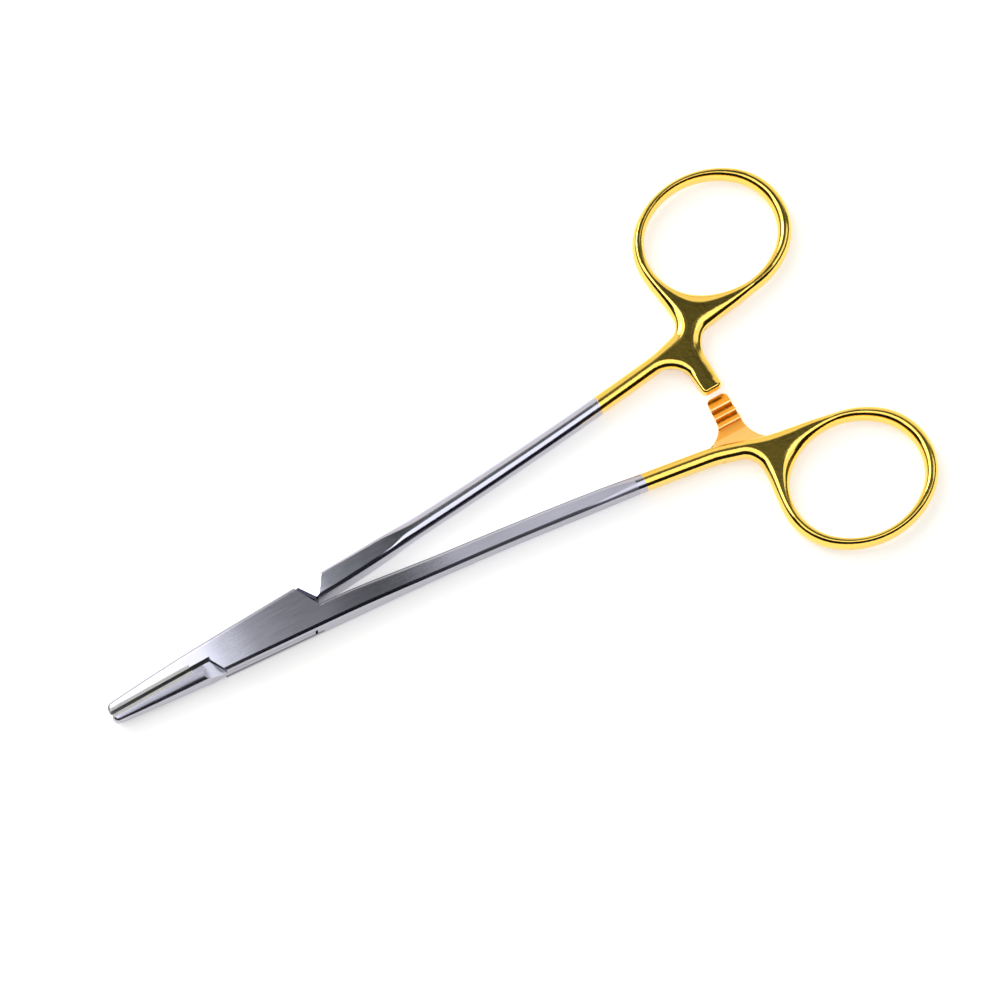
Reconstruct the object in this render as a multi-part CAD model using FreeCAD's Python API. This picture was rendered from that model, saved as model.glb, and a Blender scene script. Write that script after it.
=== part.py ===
# Ring-handled needle holder with a box lock, jaw inserts and a ratchet.
# Millimetres. The origin is the pivot axis on the underside of the box.
# +X runs to the finger rings, +Y to the male half's ring, +Z up.
import FreeCAD, Part
import math
import os

V = FreeCAD.Vector

# Jaws
jaw_length = 32.0
jaw_gap = 0.66
jaw_tip_width = 1.72
jaw_tip_thickness = 2.6
jaw_tip_radius = 1.1
jaw_tip_slope = 0.07
jaw_side_slope = 0.09
bulge_place_share = 0.69
bulge_side_share = 0.52
bulge_rise_share = 0.45
root_rise_share = 0.86
insert_length = 17.0
insert_depth = 0.6

# Box lock
box_thickness = 6.0
box_half_width = 3.98
box_taper = 0.052
slot_height = 2.1
slot_radius = 10.5
slot_end_gap = 0.45
slot_margin = 2.0
tongue_clearance = 0.05
front_crotch = 11.3
rear_crotch = 11.9
rear_land = 1.1
rear_gap = 1.1
rear_gap_slope = 0.04
flat_start = 2.5
cheek_slant = 29.0
shoulder_gap = 0.35
facet_apex_gap = 0.7
front_facet_angle = 44.0
rear_facet_angle = 50.0

# Pivot pin
pin_diameter = 3.0
pin_clearance = 0.04

# Shanks
shank_start = 18.5
shank_start_offset = 3.13
shank_bow = 0.7
shank_front_width = 3.75
shank_middle_width = 3.3
shank_rear_width = 3.2
shank_taper_length = 26.0
shank_lead_slope = 0.26
handle_thickness = 4.1
edge_radius = 0.8
edge_bevel = 0.56
ring_edge_share = 0.45
corner_edge_share = 0.9

# Finger rings
ring_centre = 112.6
ring_offset = 27.8
ring_opening_length = 26.1
ring_opening_width = 22.8
ring_far_width = 2.85
ring_near_width = 2.45
ring_outer_width = 1.95
ring_inner_width = 2.25
ring_end_roundness = 0.92

# Web where shank, ratchet arm and ring meet
web_length = 7.1
web_drop = 3.65
corner_depth = 1.05
corner_height = 1.0
corner_run = 2.4
corner_drop = 1.55
corner_rise = 1.9
root_run = 6.2
root_drop = 1.72
root_slope = 0.17
rim_leave_angle = 79.0

# Ratchet arms
arm_width = 4.2
arm_setback = 0.4
arm_flare = 0.3
arm_side_slope = 0.04
arm_tip_gap = 0.35
arm_corner_radius = 1.0
arm_root_drop = 2.0
landing_length = 2.4
tooth_pitch = 1.85
tooth_height = 0.75
tooth_count = 3
tooth_engagement = 0.3
steep_face_run = 0.15

# Levels and places that follow from the sizes
middle = box_thickness / 2
handle_top = middle + handle_thickness / 2
slot_bottom = middle - slot_height / 2
slot_top = middle + slot_height / 2
tongue_bottom = slot_bottom + tongue_clearance
tongue_top = slot_top - tongue_clearance
tongue_radius = slot_radius - slot_end_gap
box_rear = rear_crotch + rear_land
jaw_inner = jaw_gap / 2
shank_inner = rear_gap / 2

# Each ring is an oval opening in an oval rim with a centre of its own
opening_a = ring_opening_length / 2
opening_b = ring_opening_width / 2
rim_a = opening_a + (ring_far_width + ring_near_width) / 2
rim_b = opening_b + (ring_outer_width + ring_inner_width) / 2
rim_x = ring_centre + (ring_far_width - ring_near_width) / 2
rim_y = ring_offset + (ring_outer_width - ring_inner_width) / 2
rim_left = rim_x - rim_a
rim_low = rim_y - rim_b

# The plain shank ends where it widens into the web
shank_end_x = rim_left - web_length
shank_end_y = rim_low - web_drop
arm_x = rim_left + arm_setback
arm_root = rim_low - arm_root_drop

# Room beyond the part for the blocks that cut and trim it
beyond = 1.0
far_off = 100.0
near = 0.3
tiny = 0.01
flat_share = 0.35
no_turn = 1e-6


def line(a, b):
    return Part.LineSegment(V(*a), V(*b)).toShape()


def arc(a, b, c):
    return Part.Arc(V(*a), V(*b), V(*c)).toShape()


def curve(points, start, end):
    """A smooth edge through a few points, with its direction at each end."""
    spline = Part.BSplineCurve()
    spline.interpolate(Points=[V(*p) for p in points], InitialTangent=V(*start), FinalTangent=V(*end))
    return spline.toShape()


def run_on(before, end, slope):
    """A smooth edge from the end of another edge, in the same direction, to a point."""
    last = before.valueAt(before.LastParameter)
    way = before.tangentAt(before.LastParameter)
    return curve([tuple(last), end], tuple(way), slope)


def oval(x, y, a, b, start, finish):
    """Edges of an oval of four arcs that meet in line, from one angle to another.

    Its two ends along X have the smaller radius and its two sides the larger one.
    """
    end_radius = ring_end_roundness * b
    side_radius = (a ** 2 - 2 * a * end_radius + b ** 2) / (2 * (b - end_radius))
    meet = math.atan2(side_radius - b, a - end_radius)
    half_turn = math.pi
    arcs = []
    for k in range(-1, 2):
        turn = k * half_turn
        arcs.append((turn - meet, turn + meet, end_radius, x + math.cos(turn) * (a - end_radius), y))
        up = 1 if k % 2 == 0 else -1
        arcs.append((turn + meet, turn + half_turn - meet, side_radius, x, y - up * (side_radius - b)))
    edges = []
    for low, high, radius, cx, cy in arcs:
        low = max(low, start)
        high = min(high, finish)
        if high - low > no_turn:
            circle = Part.Circle(V(cx, cy, 0), V(0, 0, 1), radius)
            edges.append(Part.ArcOfCircle(circle, low, high).toShape())
    return edges


def plate(edges, height):
    """A solid from level zero up, with the outline that the edges make."""
    wire = Part.Wire(Part.__sortEdges__(edges))
    return Part.Face(wire).extrude(V(0, 0, height))


def block(x0, x1, y0, y1, z0, z1):
    return Part.makeBox(x1 - x0, y1 - y0, z1 - z0, V(x0, y0, z0))


def turned_over(shape):
    """A copy turned half round the X axis at mid thickness."""
    copy = shape.copy()
    copy.rotate(V(0, 0, middle), V(1, 0, 0), 180)
    return copy


def box_edge(x):
    """Half width of the box at a place along X."""
    return box_half_width + box_taper * x


def shank_point(x, share):
    """A place across the shank: share is -1 at its inner edge and 1 at its outer edge."""
    t = (x - shank_start) / (shank_end_x - shank_start)
    rise = shank_end_y - shank_start_offset
    centre = shank_start_offset + rise * t - 4 * shank_bow * t * (1 - t)
    if t < 0.5:
        width = shank_front_width + (shank_middle_width - shank_front_width) * 2 * t
    else:
        width = shank_middle_width + (shank_rear_width - shank_middle_width) * (2 * t - 1)
    return (x, centre + share * width / 2, 0)


def level(x, height, side):
    """A place in the side view, by its height from mid thickness; side is 1 above and -1 below."""
    return (x, -far_off, middle + side * height)


def jaw_profile(side):
    """The side view of a jaw's top or bottom: thin at the tip, then hollow, then full at the box."""
    tip_half = jaw_tip_thickness / 2
    growth = box_thickness / 2 - tip_half
    points = [
        level(-jaw_length - beyond, tip_half - beyond * jaw_tip_slope, side),
        level(-jaw_length * bulge_place_share, tip_half + growth * bulge_rise_share, side),
        level(-front_crotch, tip_half + growth * root_rise_share, side),
        level(-flat_start, box_thickness / 2, side),
    ]
    return curve(points, (1, 0, side * jaw_tip_slope), (1, 0, 0)), points[0], points[-1]


def jaw_top(x):
    """Level of a jaw's top face at a place along X."""
    probe = line(level(x, 0, 1), level(x, box_thickness, 1))
    return probe.distToShape(jaw_profile(1)[0])[1][0][0].z


def side_profile():
    """The side view: thin jaw tips, a flat box, and thinner shanks and rings."""
    far = rim_x + rim_a + beyond
    box_half = box_thickness / 2
    handle_half = handle_thickness / 2
    taper_end = box_rear + shank_taper_length
    edges = []
    tips = []
    for side in (1, -1):
        jaw, tip, jaw_end = jaw_profile(side)
        taper = [
            level(box_rear, box_half, side),
            level((box_rear + taper_end) / 2, (box_half + handle_half) / 2, side),
            level(taper_end, handle_half, side),
        ]
        tips.append(tip)
        edges.append(jaw)
        edges.append(line(jaw_end, taper[0]))
        edges.append(curve(taper, (1, 0, 0), (1, 0, 0)))
        edges.append(line(taper[-1], level(far, handle_half, side)))
    edges.append(line(tips[0], tips[1]))
    edges.append(line(level(far, handle_half, 1), level(far, handle_half, -1)))
    wire = Part.Wire(Part.__sortEdges__(edges))
    return Part.Face(wire).extrude(V(0, 2 * far_off, 0))


def shank_arc(share):
    """One long edge of the shank, from where it has its full handle thickness to the web."""
    start = box_rear + shank_taper_length
    half_way = (start + shank_end_x) / 2
    return arc(shank_point(start, share), shank_point(half_way, share), shank_point(shank_end_x, share))


def root_points():
    """The inner edge up to the ratchet arm, its slope there, and the point and slope after the arm."""
    inner = shank_arc(-1)
    slope = tuple(inner.tangentAt(inner.LastParameter))
    after = (rim_left + root_run, rim_low - root_drop, 0)
    return inner, slope, after, (1, root_slope, 0)


def handle_blank():
    """Shank, web and ring of the half whose ring is on the +Y side."""
    corner_x = rim_left + corner_depth
    corner_y = rim_low + corner_height
    corner_end = (corner_x, corner_y + corner_rise, 0)
    lead_end = (corner_x - corner_run, corner_y - corner_drop, 0)
    rim = oval(rim_x, rim_y, rim_a, rim_b, math.radians(-rim_leave_angle), math.pi)
    rim_foot = rim[0].valueAt(rim[0].FirstParameter)
    foot_way = rim[0].tangentAt(rim[0].FirstParameter)
    inner, before_slope, after, after_slope = root_points()
    outer = shank_arc(1)
    inner_start = inner.valueAt(inner.FirstParameter)
    inner_way = inner.tangentAt(inner.FirstParameter)
    outer_start = outer.valueAt(outer.FirstParameter)
    outer_way = outer.tangentAt(outer.FirstParameter)
    box_outer = (box_rear, box_edge(box_rear), 0)
    box_inner = (box_rear, shank_inner, 0)
    lead = run_on(outer, lead_end, (1, shank_lead_slope, 0))
    edges = rim + [
        curve([box_outer, tuple(outer_start)], (1, box_taper, 0), tuple(outer_way)),
        outer,
        lead,
        run_on(lead, corner_end, (0, 1, 0)),
        curve([corner_end, (rim_left, rim_y, 0)], (0, 1, 0), (0, 1, 0)),
        curve([after, tuple(rim_foot)], after_slope, tuple(foot_way)),
        run_on(inner, after, after_slope),
        inner,
        curve([box_inner, tuple(inner_start)], (1, rear_gap_slope, 0), tuple(inner_way)),
        line(box_inner, box_outer),
    ]
    opening = oval(ring_centre, ring_offset, opening_a, opening_b, -math.pi, math.pi)
    return plate(edges, box_thickness).cut(plate(opening, box_thickness))


def ratchet_arm():
    """Ratchet arm of the +Y half, level with the top of the handle, with teeth underneath."""
    left = arm_x - arm_width / 2
    right = arm_x + arm_width / 2
    r = arm_corner_radius
    turn = r * (1 - math.sqrt(0.5))
    inner, before_slope, after, after_slope = root_points()
    before = tuple(inner.valueAt(inner.LastParameter))
    down = (0, -1, 0)
    tip = arm_tip_gap
    left_waist = (left - arm_flare, (before[1] + tip + r) / 2, 0)
    right_waist = (right, (after[1] + tip + r) / 2, 0)
    back = (-after_slope[0], -after_slope[1], 0)
    inside = (arm_x, (rim_low + arm_root) / 2, 0)
    edges = [
        curve([before, left_waist], before_slope, (arm_side_slope, -1, 0)),
        line(left_waist, (left, tip + r, 0)),
        arc((left, tip + r, 0), (left + turn, tip + turn, 0), (left + r, tip, 0)),
        line((left + r, tip, 0), (right - r, tip, 0)),
        arc((right - r, tip, 0), (right - turn, tip + turn, 0), (right, tip + r, 0)),
        line((right, tip + r, 0), right_waist),
        curve([after, right_waist], back, down),
        line(after, inside),
        line(inside, before),
    ]
    arm = plate(edges, handle_top)
    ridge = middle - tooth_engagement
    valley = ridge + tooth_height
    y = tip
    profile = [(y - beyond, valley), (y, valley)]
    y += landing_length
    for k in range(tooth_count):
        profile += [(y, ridge), (y + steep_face_run, valley)]
        y += tooth_pitch
    deep = rim_low
    profile += [(y, valley), (arm_root, middle), (deep, middle), (deep, -beyond), (tip - beyond, -beyond)]
    points = [V(arm_x - far_off, py, pz) for py, pz in profile + profile[:1]]
    below = Part.Face(Part.makePolygon(points)).extrude(V(2 * far_off, 0, 0))
    return arm.cut(below)


def jaw_outline():
    """The outer edges of a jaw on the -Y side, from its inner face round the tip to the box."""
    tip = -jaw_length
    r = jaw_tip_radius
    side = -jaw_inner - jaw_tip_width
    turn = r * (1 - math.sqrt(0.5))
    full = -box_edge(-front_crotch)
    middle_side = side + (full - side) * bulge_side_share
    root = (-front_crotch, full, 0)
    edges = [
        line((tip, -jaw_inner, 0), (tip, side + r, 0)),
        arc((tip, side + r, 0), (tip + turn, side + turn, 0), (tip + r, side, 0)),
        curve([(tip + r, side, 0), (tip * bulge_place_share, middle_side, 0), root],
              (1, -jaw_side_slope, 0), (1, -box_taper, 0)),
    ]
    return edges, root


def male_blank():
    """Jaw and tongue at full thickness, before room is made for the cheeks."""
    r = tongue_radius

    def on_circle(angle):
        return (r * math.cos(angle), r * math.sin(angle), 0)

    def edge_on_circle(slope, offset, end):
        """Where a long edge of the box meets the circle of the tongue's ends."""
        a = 1 + slope ** 2
        b = slope * offset
        x = (-b + end * math.sqrt(b ** 2 - a * (offset ** 2 - r ** 2))) / a
        return (x, offset + slope * x, 0)

    edges, root = jaw_outline()
    low_rear = edge_on_circle(-box_taper, -box_half_width, 1)
    high_front = edge_on_circle(box_taper, box_half_width, -1)
    front_angle = math.pi + math.asin(jaw_inner / r)
    rear_angle = math.asin(shank_inner / r)
    low_angle = math.atan2(low_rear[1], low_rear[0])
    high_angle = math.atan2(high_front[1], high_front[0])
    edges += [
        line(root, low_rear),
        arc(low_rear, on_circle((low_angle + rear_angle) / 2), on_circle(rear_angle)),
        line(on_circle(rear_angle), (box_rear, shank_inner, 0)),
        line((box_rear, shank_inner, 0), (box_rear, box_edge(box_rear), 0)),
        line((box_rear, box_edge(box_rear), 0), high_front),
        arc(high_front, on_circle((high_angle + front_angle) / 2), on_circle(front_angle)),
        line(on_circle(front_angle), (-jaw_length, -jaw_inner, 0)),
    ]
    return plate(edges, box_thickness)


def slant_end(x, y, side):
    """Where the slanted end of a cheek, from its crotch, meets the box's long edge on one side."""
    run = side * math.sin(math.radians(cheek_slant))
    rise = side * math.cos(math.radians(cheek_slant))
    reach = (side * box_edge(x) - y) / (rise - side * box_taper * run)
    return (x + reach * run, y + reach * rise, 0)


def female_blank():
    """Jaw and box at full thickness, in the same pose as the male blank."""
    edges, root = jaw_outline()
    front = (-front_crotch, -jaw_inner, 0)
    rear = (rear_crotch, shank_inner, 0)
    front_end = slant_end(front[0], front[1], 1)
    rear_end = slant_end(rear[0], rear[1], -1)
    edges += [
        line(root, rear_end),
        line(rear_end, rear),
        line(rear, (box_rear, shank_inner, 0)),
        line((box_rear, shank_inner, 0), (box_rear, box_edge(box_rear), 0)),
        line((box_rear, box_edge(box_rear), 0), front_end),
        line(front_end, front),
        line(front, (-jaw_length, -jaw_inner, 0)),
    ]
    return plate(edges, box_thickness)


def long_edges(shape):
    """The edges along the jaw, box and handle, top and bottom."""
    chosen = []
    for edge in shape.Edges:
        p = edge.CenterOfMass
        flat = edge.BoundBox.ZLength < flat_share * edge.Length and edge.BoundBox.XLength > tiny
        outside = abs(p.z - middle) > handle_thickness / 2 - tiny or p.x < -front_crotch
        handle = p.x > box_rear + tiny
        box = -front_crotch < p.x < box_rear and abs(abs(p.y) - box_edge(p.x)) < near
        jaw = p.x < -front_crotch and abs(p.y) > jaw_inner + near
        if flat and outside and (handle or box or jaw):
            chosen.append(edge)
    return chosen


def half_blank(front_part):
    """One whole half, its front rounded and its handle bevelled, before the box lock is cut."""
    profile = side_profile()
    front = front_part.common(profile)
    handle = handle_blank().common(profile).fuse(ratchet_arm()).removeSplitter()
    bevel = min(edge_bevel, ring_edge_share * ring_outer_width, corner_edge_share * arm_corner_radius)
    front = front.makeFillet(edge_radius, long_edges(front))
    return front.fuse(handle.makeChamfer(bevel, long_edges(handle)))


def jaw_insert(jaw):
    """The hard strip along a jaw's gripping face, cut to the jaw's own form."""
    x0 = -jaw_length - beyond
    x1 = -jaw_length + insert_length
    y0 = -jaw_inner - insert_depth
    return jaw.common(block(x0, x1, y0, beyond, -beyond, box_thickness + beyond))


def pivot_bore(radius):
    return Part.makeCylinder(radius, box_thickness + 2 * beyond, V(0, 0, -beyond))


def facet_cutter(apex, low, side, ridge_angle):
    """Clears the corner facet on top of one shoulder of the male half.

    The facet falls from a ridge, that starts at the apex, to the tongue at the low point.
    side is -1 at the front and 1 at the rear.
    """
    angle = math.radians(ridge_angle)
    ridge = V(side * math.cos(angle), side * math.sin(angle), 0)
    fall = low - apex
    slope = fall - ridge * fall.dot(ridge)
    slope.normalize()
    normal = ridge.cross(slope)
    if normal.z < 0:
        normal = normal * -1
    reach = 2 * box_half_width
    start = apex - ridge * reach
    end = apex + ridge * 2 * reach
    corners = [start, end, end + slope * 2 * reach, start + slope * 2 * reach, start]
    wedge = Part.Face(Part.makePolygon(corners)).extrude(normal * box_thickness)
    wide = jaw_length + box_rear
    return wedge.common(block(-wide, wide, -wide, wide, tongue_top, 3 * box_thickness))


def cheek_room(front_shift, rear_shift):
    """Plan outline of the space that the cheeks take, widened past each slanted end."""
    reach = 3 * box_half_width
    lean = math.tan(math.radians(cheek_slant)) * reach
    front = -front_crotch - front_shift / math.cos(math.radians(cheek_slant))
    rear = rear_crotch + rear_shift / math.cos(math.radians(cheek_slant))
    points = [
        (front + lean, jaw_inner - reach),
        (rear + lean, -shank_inner - reach),
        (rear - lean, -shank_inner + reach),
        (front - lean, jaw_inner + reach),
    ]
    closed = [V(x, y, 0) for x, y in points + points[:1]]
    return Part.Face(Part.makePolygon(closed))


def male_half():
    """Jaw, tongue, shank, ring and ratchet arm of the half that passes through the box."""
    half = half_blank(male_blank())
    room = cheek_room(shoulder_gap, shoulder_gap)
    above = room.extrude(V(0, 0, box_thickness))
    above.translate(V(0, 0, tongue_top))
    below = room.extrude(V(0, 0, box_thickness))
    below.translate(V(0, 0, tongue_bottom - box_thickness))
    half = half.cut(above).cut(below)
    front_x = -front_crotch - facet_apex_gap
    front_apex = V(front_x, -jaw_inner, jaw_top(front_x))
    front_end = slant_end(-front_crotch, -jaw_inner, 1)
    front_low = V(front_end[0] - shoulder_gap, -front_end[1], tongue_top)
    rear_apex = V(rear_crotch + facet_apex_gap, shank_inner, box_thickness)
    rear_end = slant_end(rear_crotch, shank_inner, -1)
    rear_low = V(rear_end[0] + shoulder_gap, -rear_end[1], tongue_top)
    facets = (
        (front_apex, front_low, -1, front_facet_angle),
        (rear_apex, rear_low, 1, rear_facet_angle),
    )
    for apex, low, side, ridge_angle in facets:
        cutter = facet_cutter(apex, low, side, ridge_angle)
        under = cutter.mirror(V(0, 0, middle), V(0, 0, 1))
        half = half.cut(cutter).cut(under)
    return half.cut(pivot_bore(pin_diameter / 2 + pin_clearance))


def female_half():
    """Jaw, slotted box, shank, ring and ratchet arm, in the same pose as the male half."""
    half = half_blank(female_blank())
    slot = Part.makeCylinder(slot_radius, slot_height, V(0, 0, slot_bottom))
    wide = 3 * box_half_width
    front_way = block(-front_crotch - slot_margin, 0, -jaw_inner, wide, slot_bottom, slot_top)
    rear_way = block(0, rear_crotch + slot_margin, -wide, shank_inner, slot_bottom, slot_top)
    half = half.cut(slot.fuse(front_way).fuse(rear_way))
    return half.cut(pivot_bore(pin_diameter / 2))


def seated(half):
    """Split a half into its steel body and the insert that is fixed in its jaw."""
    insert = jaw_insert(half)
    return half.cut(insert), insert


def pivot_pin():
    return Part.makeCylinder(pin_diameter / 2, box_thickness)


male_body, male_insert = seated(male_half())
female_body, female_insert = seated(female_half())
nodes = {
    "box_half": turned_over(female_body),
    "tongue_half": male_body,
    "pivot_pin": pivot_pin(),
    "box_jaw_insert": turned_over(female_insert),
    "tongue_jaw_insert": male_insert,
}

os.makedirs("parts", exist_ok=True)
for name, shape in nodes.items():
    solid = shape.Solids[0] if len(shape.Solids) == 1 else shape
    solid.exportStep("parts/" + name + ".step")
    print(name, len(shape.Solids), "solid", "valid" if shape.isValid() else "not valid")
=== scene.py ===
"""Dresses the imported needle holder: satin steel, mirror gold plating and jaw inserts."""

import math
from collections import namedtuple

import bmesh
import bpy
from mathutils import Matrix, Vector


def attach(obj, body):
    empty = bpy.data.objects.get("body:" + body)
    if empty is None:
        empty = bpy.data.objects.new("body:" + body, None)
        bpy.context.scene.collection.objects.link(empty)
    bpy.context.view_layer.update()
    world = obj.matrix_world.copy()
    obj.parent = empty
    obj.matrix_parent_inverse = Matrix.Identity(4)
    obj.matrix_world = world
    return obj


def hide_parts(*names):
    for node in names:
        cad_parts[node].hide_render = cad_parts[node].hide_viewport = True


bl_info = {
    "name": "Needle Holder Finish",
    "version": (1, 0, 0),
    "blender": (4, 5, 0),
    "location": "View3D > Sidebar > Needle Holder",
    "description": "Models and finishes the two halves of a ring-handled needle holder",
    "category": "Object",
}

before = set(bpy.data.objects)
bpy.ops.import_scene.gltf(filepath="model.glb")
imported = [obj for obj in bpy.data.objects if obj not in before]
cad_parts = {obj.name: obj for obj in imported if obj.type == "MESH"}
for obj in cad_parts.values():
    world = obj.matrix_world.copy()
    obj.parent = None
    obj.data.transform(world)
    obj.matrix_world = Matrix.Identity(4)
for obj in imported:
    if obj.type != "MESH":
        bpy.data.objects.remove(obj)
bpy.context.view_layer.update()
MM = 0.001

# Heights and widths of the solid model, in millimetres
MIDDLE = 3.0
BOX_HALF = 3.0
HANDLE_HALF = 2.05
BOX_HALF_WIDTH = 3.98
BOX_TAPER = 0.052
FRONT_CROTCH = 11.3
REAR_CROTCH = 11.9
BOX_REAR = 13.0
CHEEK_SLANT = math.radians(29.0)
SHOULDER_GAP = 0.35
SLOT_RADIUS = 10.5
SLOT_HEIGHT = 2.1
SLOT_LINE = 0.12
TONGUE_RADIUS = 10.05
TONGUE_HEIGHT = 2.0
PIN_RADIUS = 1.5
PIN_CLEARANCE = 0.04

# Jaws
JAW_LENGTH = 32.0
JAW_INNER = 0.33
TIP_WIDTH = 1.72
TIP_RADIUS = 1.1
TIP_INNER_RADIUS = 0.55
INSERT_LENGTH = 17.0
INSERT_DEPTH = 0.6
JAW_STATIONS = ((-33.0, 1.23, 0.07), (-22.08, 2.065, 0.071), (-11.3, 2.762, 0.048), (-2.5, 3.0, 0.0))
FRONT_APEX = (-12.0, -0.33, 5.7265)
FRONT_LOW = (-9.525, -3.503, 4.0)
REAR_APEX = (12.6, 0.55, 6.0)
REAR_LOW = (9.476, 4.4545, 4.0)
FRONT_FACET_ANGLE = 44.0
REAR_FACET_ANGLE = 56.0

# Shanks
SHANK_INNER = 0.55
SHANK_START = (18.5, 3.13)
SHANK_END = (90.0, 10.5)
SHANK_BOW = 0.7
SHANK_WIDTHS = (3.75, 3.3, 3.2)
SHANK_FULL = 39.0
# The rail stops at the first place along X and starts again at the second, past the box
STEP_X = 11.3
SHANK_X = 12.0

# Ring, web and ratchet arm
RING = (112.6, 27.8)
OPENING = (13.05, 11.4)
RIM_CENTRE = (112.8, 27.65)
RIM = (15.68, 13.48)
RING_ROUNDNESS = 0.92
RIM_LEAVE = math.radians(-79.0)
CORNER_END = (98.15, 17.05)
LEAD_END = (95.75, 13.6)
LEAD_SLOPE = 0.26
ROOT_END = (103.3, 12.43)
ROOT_SLOPE = 0.17
ARM_X = 97.5
ARM_HALF_WIDTH = 2.1
ARM_FLARE = 0.3
ARM_TIP = 0.35
ARM_CORNER = 1.0
LANDING = 2.4
TOOTH_PITCH = 1.85
TOOTH_HEIGHT = 0.75
TOOTH_ENGAGEMENT = 0.3
STEEP_RUN = 0.15
TOOTH_COUNT = 3
TEETH_END = ARM_TIP + LANDING + TOOTH_COUNT * TOOTH_PITCH

# Edge rounding along each half, as rows of place, width and height
TONGUE_INNER = ((-31.5, 0.8, 0.8), (-24.0, 1.5, 1.15), (-15.0, 2.0, 1.4), (-11.0, 1.3, 0.9),
                (-8.0, 0.6, 0.6), (13.0, 0.6, 0.6), (28.5, 0.7, 0.6), (33.5, 1.54, 1.25))
TONGUE_OUTER = ((13.0, 0.5, 0.5), (27.0, 0.7, 0.55), (36.0, 1.54, 1.25))
BOX_INNER = ((-11.0, 0.75, 0.75), (13.0, 0.6, 0.6), (30.0, 0.8, 0.6), (69.0, 0.85, 0.7),
             (77.0, 1.54, 1.25))
BOX_OUTER = ((-9.0, 0.6, 0.6), (20.0, 0.62, 0.6), (66.0, 0.66, 0.62), (77.0, 1.54, 1.25))
BOX_BEVEL = ("outer", ((62.0, 1.0), (74.0, 0.0)))
TONGUE_BEVEL = ("inner", ((-9.0, 0.0), (-8.0, 1.0), (25.0, 1.0), (34.0, 0.0)))
WEB_CROWN = 2.5

# How finely the rounded edges are drawn
ROUND_STEPS = 10
SUPPORT = 0.03

Station = namedtuple("Station", "x y inward soft drop top foot bevel")


class HolderSettings(bpy.types.PropertyGroup):
    """Sizes and colours that a user would change."""

    plating_start: bpy.props.FloatProperty(
        name="Plating start", description="Where the gold begins, from the pivot", default=0.0772,
        subtype="DISTANCE")
    steel: bpy.props.FloatVectorProperty(
        name="Steel", description="Colour of the satin steel", default=(0.67, 0.67, 0.80),
        size=3, subtype="COLOR")
    gold: bpy.props.FloatVectorProperty(
        name="Gold", description="Colour of the plating", default=(1.0, 0.68, 0.14),
        size=3, subtype="COLOR")
    insert: bpy.props.FloatVectorProperty(
        name="Insert", description="Colour of the jaw inserts", default=(0.50, 0.49, 0.485),
        size=3, subtype="COLOR")
    floor: bpy.props.FloatVectorProperty(
        name="Floor", description="Colour of the floor", default=(0.86, 0.86, 0.85),
        size=3, subtype="COLOR")


def unit(dx, dy):
    length = math.hypot(dx, dy)
    return dx / length, dy / length


def bend(start, start_way, end, end_way, steps):
    """Points of a smooth curve between two places, with its direction at each, without the first."""
    third = math.hypot(end[0] - start[0], end[1] - start[1]) / 3
    a, b = unit(*start_way), unit(*end_way)
    h1 = (start[0] + a[0] * third, start[1] + a[1] * third)
    h2 = (end[0] - b[0] * third, end[1] - b[1] * third)
    points = []
    for k in range(1, steps + 1):
        t = k / steps
        s = 1 - t
        weights = (s ** 3, 3 * s * s * t, 3 * s * t * t, t ** 3)
        points.append(tuple(sum(w * p[i] for w, p in zip(weights, (start, h1, h2, end))) for i in (0, 1)))
    return points


def straight(start, end, steps):
    """Points along a straight line, without the first."""
    return [(start[0] + (end[0] - start[0]) * k / steps, start[1] + (end[1] - start[1]) * k / steps)
            for k in range(1, steps + 1)]


def round_arc(centre, radius, start, finish, steps):
    """Points along an arc, without the first."""
    angles = [start + (finish - start) * k / steps for k in range(1, steps + 1)]
    return [(centre[0] + radius * math.cos(a), centre[1] + radius * math.sin(a)) for a in angles]


def oval(centre, half_sizes, start, finish, spacing):
    """Points of an oval of four arcs, from one angle to another, without the first."""
    a, b = half_sizes
    end_radius = RING_ROUNDNESS * b
    side_radius = (a ** 2 - 2 * a * end_radius + b ** 2) / (2 * (b - end_radius))
    meet = math.atan2(side_radius - b, a - end_radius)
    points = []
    for k in range(-1, 2):
        turn = k * math.pi
        up = 1 if k % 2 == 0 else -1
        ends = (centre[0] + up * (a - end_radius), centre[1])
        sides = (centre[0], centre[1] - up * (side_radius - b))
        for low, high, radius, middle in (
                (turn - meet, turn + meet, end_radius, ends),
                (turn + meet, turn + math.pi - meet, side_radius, sides)):
            low, high = max(low, start), min(high, finish)
            if high - low > 1e-4:
                steps = max(2, round((high - low) * radius / spacing))
                points += round_arc(middle, radius, low, high, steps)
    return points


def shank_place(x, share):
    """A place across the shank: share is -1 at its inner edge and 1 at its outer edge."""
    t = (x - SHANK_START[0]) / (SHANK_END[0] - SHANK_START[0])
    centre = SHANK_START[1] + (SHANK_END[1] - SHANK_START[1]) * t - 4 * SHANK_BOW * t * (1 - t)
    front, middle, rear = SHANK_WIDTHS
    width = front + (middle - front) * 2 * t if t < 0.5 else middle + (rear - middle) * (2 * t - 1)
    return x, centre + share * width / 2


def shank_edge(share, steps):
    """The long arc of one shank edge as points, with its directions at both ends."""
    p = shank_place(SHANK_FULL, share)
    q = shank_place((SHANK_FULL + SHANK_END[0]) / 2, share)
    r = shank_place(SHANK_END[0], share)
    sag = q[1] - (p[1] + r[1]) / 2
    chord = r[0] - p[0]
    slope = (r[1] - p[1]) / chord
    points = []
    for k in range(1, steps + 1):
        t = k / steps
        points.append((p[0] + chord * t, p[1] + (r[1] - p[1]) * t + 4 * sag * t * (1 - t)))
    turn = 4 * sag / chord
    return points, p, (1, slope + turn), (1, slope - turn)


def box_edge(x):
    """Half width of the box at a place along X."""
    return BOX_HALF_WIDTH + BOX_TAPER * x


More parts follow.
